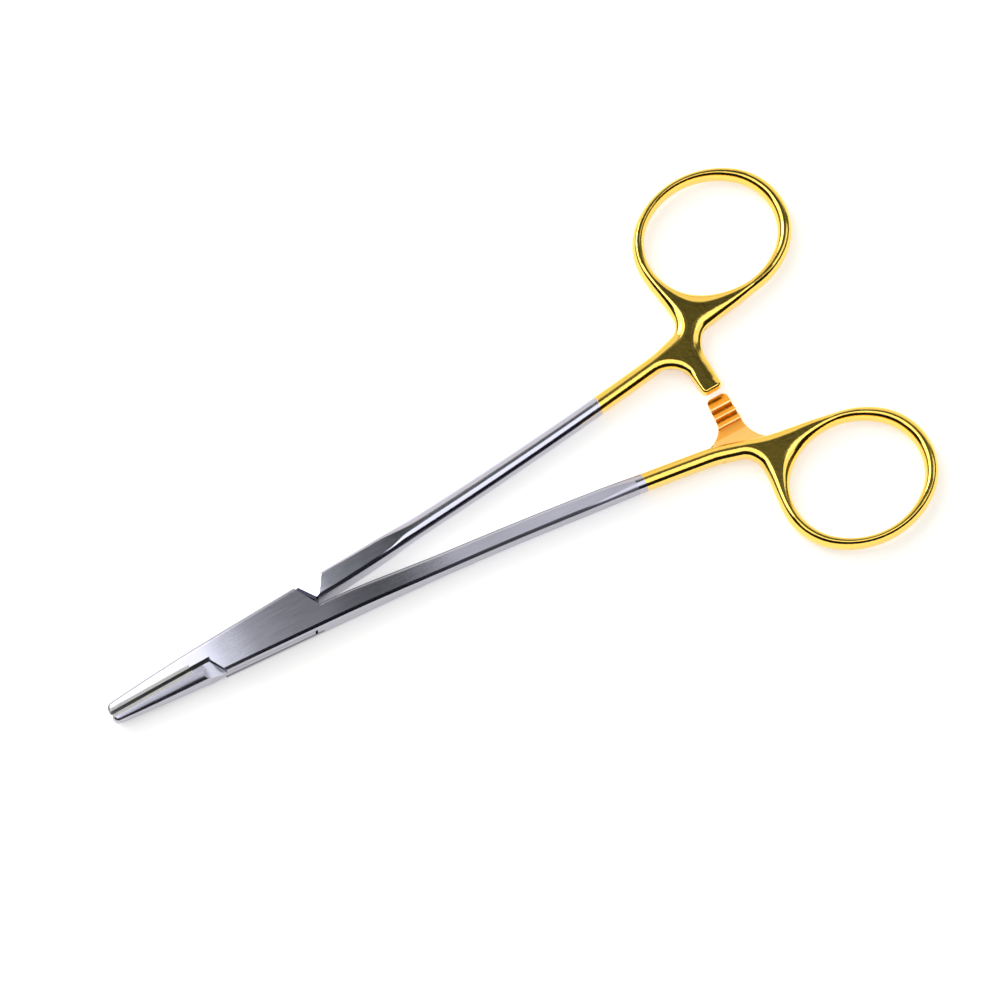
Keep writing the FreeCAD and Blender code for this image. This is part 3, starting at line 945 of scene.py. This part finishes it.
def grain_group():
    """Fine lengthwise grain, as a brush leaves it on steel."""
    if "Lengthwise grain" in bpy.data.node_groups:
        return bpy.data.node_groups["Lengthwise grain"]
    group, nodes, start, end = make_group(
        "Lengthwise grain",
        [("Vector", "NodeSocketVector", None), ("Lines per metre", "NodeSocketFloat", 6000.0),
         ("Length", "NodeSocketFloat", 0.02)],
        [("Grain", "NodeSocketFloat"), ("Blotch", "NodeSocketFloat")])
    stretch = nodes.add("ShaderNodeCombineXYZ", {1: 1.0, 2: 1.0})
    nodes.link(start.outputs["Length"], stretch.inputs[0])
    scaled = nodes.add("ShaderNodeVectorMath", {"operation": "MULTIPLY"})
    nodes.link(start.outputs["Vector"], scaled.inputs[0])
    nodes.link(stretch.outputs[0], scaled.inputs[1])
    fine = nodes.add("ShaderNodeTexNoise", {"Detail": 3.0, "Roughness": 0.6}, Vector=scaled.outputs[0],
                     Scale=start.outputs["Lines per metre"])
    coarse_scale = nodes.maths("MULTIPLY", start.outputs["Lines per metre"], 0.06)
    coarse = nodes.add("ShaderNodeTexNoise", {"Detail": 2.0}, Vector=start.outputs["Vector"],
                       Scale=coarse_scale)
    nodes.link(fine.outputs["Fac"], end.inputs["Grain"])
    nodes.link(coarse.outputs["Fac"], end.inputs["Blotch"])
    return group


def placed(nodes, group, **values):
    node = nodes.tree.nodes.new("ShaderNodeGroup")
    node.node_tree = group
    for key, value in values.items():
        socket = node.inputs[key.replace("_", " ")]
        if hasattr(value, "links"):
            nodes.link(value, socket)
        else:
            socket.default_value = value
    return node


def new_material(name):
    material = bpy.data.materials.new(name)
    material.use_nodes = True
    nodes = Nodes(material.node_tree)
    shader = material.node_tree.nodes["Principled BSDF"]
    place = nodes.add("ShaderNodeTexCoord")
    return material, nodes, shader, place.outputs["Object"]


# Brightness of the steel along each half, which is painted light and shade, and its roughness, as (place in
# millimetres, value) rows.
# They were tuned until the render's tones came close to the photo's.
BOX_PAINTED_SHADING = ((-32.0, 0.92), (-12.0, 1.0), (-7.0, 0.80), (-1.0, 0.68), (9.0, 0.53), (22.0, 0.55),
            (42.0, 0.86), (60.0, 0.88))
BOX_ROUGH = ((-32.0, 0.28), (-14.0, 0.36), (-8.0, 0.28), (4.0, 0.22), (22.0, 0.2), (42.0, 0.3),
             (60.0, 0.34))
TONGUE_PAINTED_SHADING = ((-32.0, 0.52), (-13.0, 0.50), (-12.0, 0.95), (12.0, 1.0), (16.0, 0.95), (27.0, 0.86),
               (34.0, 0.95))
TONGUE_ROUGH = ((-32.0, 0.26), (-13.0, 0.26), (-11.5, 0.3), (12.0, 0.3), (16.0, 0.22), (26.0, 0.2),
                (34.0, 0.13))
# Shade painted on the side walls that face +Y, much darker on the box half
BOX_FAR_WALL_SHADE = 0.26
TONGUE_FAR_WALL_SHADE = 0.8


def steel_group():
    """Colour and roughness of satin steel, with painted light and shade: its colour is scaled along the half,
    and its side walls are painted duller, by which way they face.
    """
    if "Satin steel" in bpy.data.node_groups:
        return bpy.data.node_groups["Satin steel"]
    group, nodes, start, end = make_group(
        "Satin steel",
        [("Tone", "NodeSocketFloat", 1.0), ("Base roughness", "NodeSocketFloat", 0.3),
         ("Grain", "NodeSocketFloat", 0.5), ("Normal", "NodeSocketVector", None),
         ("Far wall", "NodeSocketFloat", BOX_FAR_WALL_SHADE), ("Steel", "NodeSocketVector", None)],
        [("Color", "NodeSocketColor"), ("Roughness", "NodeSocketFloat")])
    grain = start.outputs["Grain"]
    facing = nodes.add("ShaderNodeSeparateXYZ", Vector=start.outputs["Normal"])
    # Painted light and shade along the half, times a little of the grain's own tone
    tone = nodes.maths("MULTIPLY", start.outputs["Tone"],
                       nodes.spread(grain, 0.3, 0.7, 0.92, 1.0, smooth=False))
    # Painted shade on the side walls: those facing -Y get a flat warm grey, those facing +Y the far wall's
    # shade
    wall = nodes.spread(nodes.maths("ABSOLUTE", facing.outputs["Z"]), 0.85, 0.55)
    side = nodes.blend(nodes.spread(facing.outputs["Y"], -0.1, 0.1), (0.72, 0.70, 0.66),
                       start.outputs["Far wall"])
    tinted = nodes.add("ShaderNodeVectorMath", {"operation": "MULTIPLY"})
    nodes.link(nodes.blend(wall, tone, side), tinted.inputs[0])
    nodes.link(start.outputs["Steel"], tinted.inputs[1])
    nodes.link(tinted.outputs[0], end.inputs["Color"])
    nodes.link(nodes.maths("ADD", start.outputs["Base roughness"],
                           nodes.spread(grain, 0.3, 0.7, -0.015, 0.015, smooth=False)),
               end.inputs["Roughness"])
    return group


def satin_steel(nodes, settings, grain, x, painted_shading_stops, rough_stops, far_wall_shade):
    """The shared steel with one half's painted light and shade, as its colour and roughness."""
    normal = nodes.add("ShaderNodeNewGeometry").outputs["Normal"]
    look = placed(nodes, steel_group(), Tone=nodes.track(x, painted_shading_stops),
                  Base_roughness=nodes.track(x, rough_stops), Grain=grain.outputs["Grain"],
                  Normal=normal, Far_wall=far_wall_shade, Steel=settings.steel)
    return look.outputs["Color"], look.outputs["Roughness"]


def cheek_shadow_line(nodes, place, y):
    """Mask of the painted shadow line along the rear cheek of the other half."""
    way = (math.cos(CHEEK_SLANT), math.sin(CHEEK_SLANT), 0)
    across = nodes.add("ShaderNodeVectorMath", {"operation": "DOT_PRODUCT", 1: way}, Vector=place)
    across = across.outputs["Value"]
    line = REAR_CROTCH * way[0] + SHANK_INNER * way[1]
    near = nodes.maths("MULTIPLY", nodes.spread(across, (line + 0.52) * MM, (line + 0.44) * MM),
                       nodes.spread(across, (line - 2.05) * MM, (line - 2) * MM))
    return nodes.maths("MULTIPLY", near, nodes.spread(y, 0.0004, 0.0005))


def plated_steel(settings, painted_shading_stops, rough_stops, far_wall_shade, with_cheek_shadow_line):
    """Satin steel that turns into mirror gold plating behind the shanks."""
    material, nodes, shader, place = new_material("Plated steel")
    grain = placed(nodes, grain_group(), Vector=place, Lines_per_metre=5200.0, Length=0.03)
    xyz = nodes.add("ShaderNodeSeparateXYZ", Vector=place)
    x, y, z = (xyz.outputs[axis] for axis in "XYZ")
    aside = nodes.maths("ABSOLUTE", y)
    start = settings.plating_start
    gold = nodes.spread(x, start - 0.00006, start + 0.00006)
    polished = nodes.maths("MAXIMUM", nodes.spread(x, start - 0.0018, start - 0.0015), gold)
    unpolished = nodes.maths("SUBTRACT", 1.0, polished)

    # Painted shade: the gripping face, the slot line and the line along the rear cheek are drawn nearly
    # black, as painted shadow of the narrow gaps
    steel, satin = satin_steel(nodes, settings, grain, x, painted_shading_stops, rough_stops, far_wall_shade)
    gap_shadow = nodes.maths("MULTIPLY", nodes.spread(aside, 0.00045, 0.00040),
                       nodes.spread(x, -0.0108, -0.0111))
    if with_cheek_shadow_line:
        gap_shadow = nodes.maths("MAXIMUM", gap_shadow, cheek_shadow_line(nodes, place, y))
    slot_shadow = nodes.maths("MULTIPLY", nodes.band(z, 0.00185, 0.00042, 0.0003),
                       nodes.spread(aside, 0.0031, 0.0033))
    slot_shadow = nodes.maths("MULTIPLY", slot_shadow, nodes.band(x, 0.0007, 0.0102, 0.0100))
    steel = nodes.blend(nodes.maths("MAXIMUM", gap_shadow, slot_shadow), steel, (0.02, 0.02, 0.03))

    # The ratchet arm's toothed face is painted deep orange as painted shade, its root peach as a painted
    # reflection, and its crests lighter as a painted highlight
    grooves = nodes.maths("MULTIPLY", nodes.band(z, 0.003, 0.0010, 0.0006),
                          nodes.spread(aside, 0.0130, 0.0122))
    grooves = nodes.maths("MULTIPLY", grooves, nodes.band(x, 0.0975, 0.0056, 0.0050))
    root = nodes.spread(aside, 0.0081, 0.0084)
    raised = nodes.spread(z, 0.00316, 0.00322)
    plain = nodes.maths("MAXIMUM", nodes.spread(aside, 0.0064, 0.0067), raised)
    crest_highlight = nodes.maths("MULTIPLY", raised, nodes.maths("SUBTRACT", grooves, root))
    gold_colour = nodes.blend(grain.outputs["Blotch"], tuple(0.97 * c for c in settings.gold),
                              tuple(min(1.0, 1.02 * c) for c in settings.gold))
    ratchet = nodes.blend(root, (1.0, 0.43, 0.05), (1.0, 0.60, 0.16))
    gold_colour = nodes.blend(grooves, gold_colour, ratchet)
    gold_colour = nodes.blend(crest_highlight, gold_colour, (1.0, 0.83, 0.40))
    nodes.link(nodes.blend(gold, steel, gold_colour), shader.inputs["Base Color"])

    shiny = nodes.spread(grain.outputs["Blotch"], 0.3, 0.7, 0.08, 0.11)
    rougher = nodes.maths("MULTIPLY", grooves, nodes.spread(plain, 0.0, 1.0, 0.07, 0.3))
    shiny = nodes.maths("ADD", shiny, rougher)
    shiny = nodes.maths("ADD", shiny, nodes.maths("MULTIPLY", nodes.maths("SUBTRACT", 1.0, gold), 0.07))
    rough = nodes.maths("ADD", nodes.maths("MULTIPLY", satin, unpolished),
                        nodes.maths("MULTIPLY", shiny, polished))
    nodes.link(rough, shader.inputs["Roughness"])
    dulled = nodes.maths("MULTIPLY", nodes.maths("MULTIPLY", plain, grooves), 0.6)
    nodes.link(nodes.maths("SUBTRACT", 1.0, dulled), shader.inputs["Metallic"])

    ripple = nodes.add("ShaderNodeTexNoise", {"Scale": 1300.0, "Detail": 4.0, "Roughness": 0.7},
                       Vector=place)
    brushed = nodes.maths("MULTIPLY", unpolished, 0.2)
    depth = nodes.maths("ADD", nodes.maths("MULTIPLY", grain.outputs["Grain"], brushed),
                        nodes.maths("MULTIPLY", ripple.outputs["Fac"], gold))
    bump = nodes.add("ShaderNodeBump", {"Strength": 0.4, "Distance": 0.00004}, Height=depth)
    nodes.link(bump.outputs["Normal"], shader.inputs["Normal"])
    return material


def recess_material():
    """Steel drawn nearly black, to imitate the shadow in the narrow gaps of the lock."""
    material, nodes, shader, place = new_material("Gap steel with painted shadow")
    grain = placed(nodes, grain_group(), Vector=place, Lines_per_metre=5200.0, Length=0.5)
    colour = nodes.blend(grain.outputs["Grain"], (0.02, 0.02, 0.03), (0.06, 0.06, 0.09))
    nodes.link(colour, shader.inputs["Base Color"])
    shader.inputs["Metallic"].default_value = 1.0
    shader.inputs["Roughness"].default_value = 0.4
    return material


def insert_material(settings):
    """Hard insert with crossing cuts, its gripping face drawn nearly black as painted shadow of the gap
    between the jaws.
    """
    material, nodes, shader, place = new_material("Cross-cut insert")
    grain = placed(nodes, grain_group(), Vector=place, Lines_per_metre=4200.0, Length=0.5)
    xyz = nodes.add("ShaderNodeSeparateXYZ", Vector=place)
    cuts = []
    for sign in (1.0, -1.0):
        across = nodes.maths("ADD", xyz.outputs["X"], nodes.maths("MULTIPLY", xyz.outputs["Z"], sign))
        cuts.append(nodes.maths("PINGPONG", across, 0.00022))
    pyramids = nodes.maths("MULTIPLY", nodes.maths("MINIMUM", cuts[0], cuts[1]), 4500.0)
    colour = nodes.blend(pyramids, tuple(0.72 * c for c in settings.insert), settings.insert)
    colour = nodes.blend(grain.outputs["Grain"], tuple(0.85 * c for c in settings.insert), colour)
    # Painted shadow: faces turned across the jaw gap are drawn nearly black
    facing = nodes.add("ShaderNodeSeparateXYZ", Vector=nodes.add("ShaderNodeNewGeometry").outputs["Normal"])
    gripping = nodes.spread(nodes.maths("ABSOLUTE", facing.outputs["Y"]), 0.6, 0.8)
    colour = nodes.blend(gripping, colour, (0.03, 0.03, 0.035))
    nodes.link(colour, shader.inputs["Base Color"])
    nodes.link(nodes.spread(grain.outputs["Grain"], 0.3, 0.7, 0.34, 0.5), shader.inputs["Roughness"])
    shader.inputs["Metallic"].default_value = 1.0
    height = nodes.maths("ADD", pyramids, nodes.maths("MULTIPLY", grain.outputs["Grain"], 0.2))
    bump = nodes.add("ShaderNodeBump", {"Strength": 0.5, "Distance": 0.00012}, Height=height)
    nodes.link(bump.outputs["Normal"], shader.inputs["Normal"])
    return material


def pin_material(settings):
    """Steel ground flush with the box."""
    material, nodes, shader, place = new_material("Ground pin steel")
    grain = placed(nodes, grain_group(), Vector=place, Lines_per_metre=5200.0, Length=0.03)
    xyz = nodes.add("ShaderNodeSeparateXYZ", Vector=place)
    # The box half's painted light and shade, so the pin matches the box around it
    colour, rough = satin_steel(nodes, settings, grain, xyz.outputs["X"], BOX_PAINTED_SHADING, BOX_ROUGH,
                                BOX_FAR_WALL_SHADE)
    nodes.link(colour, shader.inputs["Base Color"])
    nodes.link(rough, shader.inputs["Roughness"])
    shader.inputs["Metallic"].default_value = 1.0
    bump = nodes.add("ShaderNodeBump", {"Strength": 0.08, "Distance": 0.00004}, Height=grain.outputs["Grain"])
    nodes.link(bump.outputs["Normal"], shader.inputs["Normal"])
    return material


def wear(obj, material):
    obj.data.materials.clear()
    obj.data.materials.append(material)


class HOLDER_OT_tongue_half(bpy.types.Operator):
    """Model the half that passes through the box, with its insert"""
    bl_idname = "holder.tongue_half"
    bl_label = "Tongue half"

    def execute(self, context):
        settings = context.scene.holder
        half = blank("tongue_body", edge_shape(TONGUE_INNER, TONGUE_OUTER, TONGUE_BEVEL))
        trim_tongue(half)
        cut_cheek_room(half)
        cut_facets(half)
        boolean(half, drum("bore", PIN_RADIUS + PIN_CLEARANCE, -2, 8))
        insert = seat_insert(half, "tongue_insert")
        finish_pieces(settings, half, insert, "tongue_half", "tongue_jaw_insert", "tongue_side")
        return {"FINISHED"}


class HOLDER_OT_box_half(bpy.types.Operator):
    """Model the half with the slotted box, with its insert"""
    bl_idname = "holder.box_half"
    bl_label = "Box half"

    def execute(self, context):
        settings = context.scene.holder
        half = blank("box_body", edge_shape(BOX_INNER, BOX_OUTER, BOX_BEVEL))
        trim_box(half)
        cut_slot(half)
        boolean(half, drum("bore", PIN_RADIUS, -2, 8))
        insert = seat_insert(half, "box_insert")
        for piece in (half, insert):
            turn_over(piece)
        finish_pieces(settings, half, insert, "box_half", "box_jaw_insert", "box_side")
        return {"FINISHED"}


def finish_pieces(settings, half, insert, half_node, insert_node, body):
    """Smooths, colours and attaches one half and its insert to their body, and hides the imported pieces they
    stand in for.
    """
    for piece in (half, insert):
        smooth(piece)
        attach(piece, body)
    if body == "tongue_side":
        wear(half, plated_steel(settings, TONGUE_PAINTED_SHADING, TONGUE_ROUGH, TONGUE_FAR_WALL_SHADE, True))
    else:
        wear(half, plated_steel(settings, BOX_PAINTED_SHADING, BOX_ROUGH, BOX_FAR_WALL_SHADE, False))
    half.data.materials.append(recess_material())
    # Faces along the cheeks' slant get the gap steel, painted nearly black as the shadow of the lock's gaps
    across = Vector((math.cos(CHEEK_SLANT), math.sin(CHEEK_SLANT), 0))
    for face in half.data.polygons:
        if abs(face.normal.dot(across)) > 0.985 and abs(face.center.x) < 14 * MM:
            face.material_index = 1
    wear(insert, insert_material(settings))
    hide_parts(half_node)
    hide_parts(insert_node)


class HOLDER_OT_pin(bpy.types.Operator):
    """Finish the pivot pin"""
    bl_idname = "holder.pin"
    bl_label = "Pivot pin"

    def execute(self, context):
        wear(bpy.data.objects["pivot_pin"], pin_material(context.scene.holder))
        return {"FINISHED"}


# The camera: its sideways and upward directions on the floor, aim, distance and tilt in
# metres and radians, and its focal length in pixels of the 1000 pixel picture
RIGHT = Vector((0.87260, -0.48845, 0))
UP = Vector((0.48845, 0.87260, 0))
TARGET = Vector((0.0564, 0.009634, 0.003))
DISTANCE = 1.25607
TILT = 0.322886
FOCAL = 6657.16
SENSOR = 36.0


def lamp(name, place, along_up, across, brightness):
    """A soft lamp at a place given in the picture's directions, aimed at the object.

    Its sides are given in metres, and its brightness is what a mirror shows of it.
    """
    clear_selection()
    offset = RIGHT * place[0] + UP * place[1] + Vector((0, 0, place[2]))
    bpy.ops.object.light_add(type="AREA", location=TARGET + offset)
    obj = bpy.context.object
    obj.name = name
    back = offset.normalized()
    first = (UP - back * UP.dot(back)).normalized()
    second = back.cross(first)
    obj.rotation_euler = Matrix((first, second, back)).transposed().to_euler()
    obj.data.shape = "RECTANGLE"
    obj.data.size = along_up
    obj.data.size_y = across
    obj.data.energy = brightness * math.pi * along_up * across
    obj.visible_camera = False
    return obj


def light_room(world):
    """A dark room with a pale wall behind the object, white to the camera."""
    world.use_nodes = True
    sky = Nodes(world.node_tree)
    background = world.node_tree.nodes["Background"]
    way = sky.add("ShaderNodeTexCoord").outputs["Generated"]
    up = sky.add("ShaderNodeVectorMath", {"operation": "DOT_PRODUCT", 1: UP})
    sky.link(way, up.inputs[0])
    back = up.outputs["Value"]
    patches = sky.add("ShaderNodeTexNoise", {"Scale": 11.0, "Detail": 2.0}, Vector=way).outputs["Fac"]
    veil = sky.blend(sky.spread(patches, 0.35, 0.65), (0.02, 0.025, 0.024), (0.18, 0.195, 0.17))
    colour = sky.blend(sky.spread(back, -0.35, 0.1), (0.012, 0.012, 0.016), veil)
    colour = sky.blend(sky.spread(back, 0.50, 0.66), colour, (1.0, 0.94, 0.84))
    height = sky.add("ShaderNodeSeparateXYZ", Vector=way).outputs["Z"]
    wall = sky.maths("MULTIPLY", sky.spread(back, 0.6, 0.9), sky.spread(height, 0.5, 0.2))
    colour = sky.blend(wall, colour, (0.95, 0.93, 0.88))
    path = sky.add("ShaderNodeLightPath")
    sky.link(sky.blend(path.outputs["Is Camera Ray"], colour, (1.0, 1.0, 1.0)), background.inputs["Color"])


class HOLDER_OT_stage(bpy.types.Operator):
    """Set up the floor, the soft lamps, the world and the camera"""
    bl_idname = "holder.stage"
    bl_label = "Stage"

    def execute(self, context):
        settings = context.scene.holder
        clear_selection()
        bpy.ops.mesh.primitive_plane_add(size=3.0, location=(TARGET.x, TARGET.y, 0))
        floor = bpy.context.object
        floor.name = "floor"
        bpy.ops.object.transform_apply(location=True, rotation=True, scale=True)
        material = bpy.data.materials.new("Pale floor")
        material.use_nodes = True
        nodes = Nodes(material.node_tree)
        shader = material.node_tree.nodes["Principled BSDF"]
        shader.inputs["Base Color"].default_value = (*settings.floor, 1)
        shader.inputs["Roughness"].default_value = 0.9
        path = nodes.add("ShaderNodeLightPath")
        seen = nodes.maths("ADD", path.outputs["Is Camera Ray"], path.outputs["Is Glossy Ray"])
        seen = nodes.maths("MINIMUM", nodes.maths("ADD", seen, path.outputs["Is Transmission Ray"]), 1.0)
        nodes.link(nodes.maths("MULTIPLY", seen, 0.42), shader.inputs["Emission Strength"])
        shader.inputs["Emission Color"].default_value = (1, 1, 1, 1)
        wear(floor, material)
        lamps = [
            lamp("overhead_panel", (-0.05, -0.25, 1.50), 1.2, 1.95, 1.35),
            lamp("left_panel", (-0.80, 0.28, 0.98), 1.0, 1.25, 1.8),
            lamp("window", (-0.85, 0.62, 0.85), 0.5, 0.5, 5.0),
            lamp("right_panel", (0.85, 0.15, 1.00), 0.8, 0.8, 1.1),
        ]
        world = context.scene.world or bpy.data.worlds.new("World")
        context.scene.world = world
        light_room(world)
        camera = bpy.data.objects.new("camera", bpy.data.cameras.new("camera"))
        context.collection.objects.link(camera)
        height = Vector((0, 0, DISTANCE * math.cos(TILT)))
        camera.location = TARGET + height - UP * DISTANCE * math.sin(TILT)
        camera.rotation_euler = (TARGET - camera.location).to_track_quat("-Z", "Y").to_euler()
        camera.data.sensor_width = SENSOR
        camera.data.lens = FOCAL / 1000 * SENSOR
        camera.data.shift_y = -0.047
        camera.data.clip_start = 0.01
        camera.data.clip_end = 20
        context.scene.camera = camera
        context.scene.view_settings.view_transform = "Standard"
        return {"FINISHED"}


class HOLDER_PT_panel(bpy.types.Panel):
    """Buttons for the pieces of the needle holder"""
    bl_idname = "HOLDER_PT_panel"
    bl_label = "Needle Holder"
    bl_space_type = "VIEW_3D"
    bl_region_type = "UI"
    bl_category = "Needle Holder"

    def draw(self, context):
        layout = self.layout
        for name in HolderSettings.__annotations__:
            layout.prop(context.scene.holder, name)
        for operator in OPERATORS:
            layout.operator(operator.bl_idname)


OPERATORS = (HOLDER_OT_tongue_half, HOLDER_OT_box_half, HOLDER_OT_pin, HOLDER_OT_stage)
CLASSES = (HolderSettings,) + OPERATORS + (HOLDER_PT_panel,)


def register():
    for entry in CLASSES:
        bpy.utils.register_class(entry)
    bpy.types.Scene.holder = bpy.props.PointerProperty(type=HolderSettings)


def unregister():
    del bpy.types.Scene.holder
    for entry in reversed(CLASSES):
        bpy.utils.unregister_class(entry)


def main():
    register()
    bpy.ops.holder.tongue_half()
    bpy.ops.holder.box_half()
    bpy.ops.holder.pin()
    bpy.ops.holder.stage()


if __name__ == "__main__":
    main()
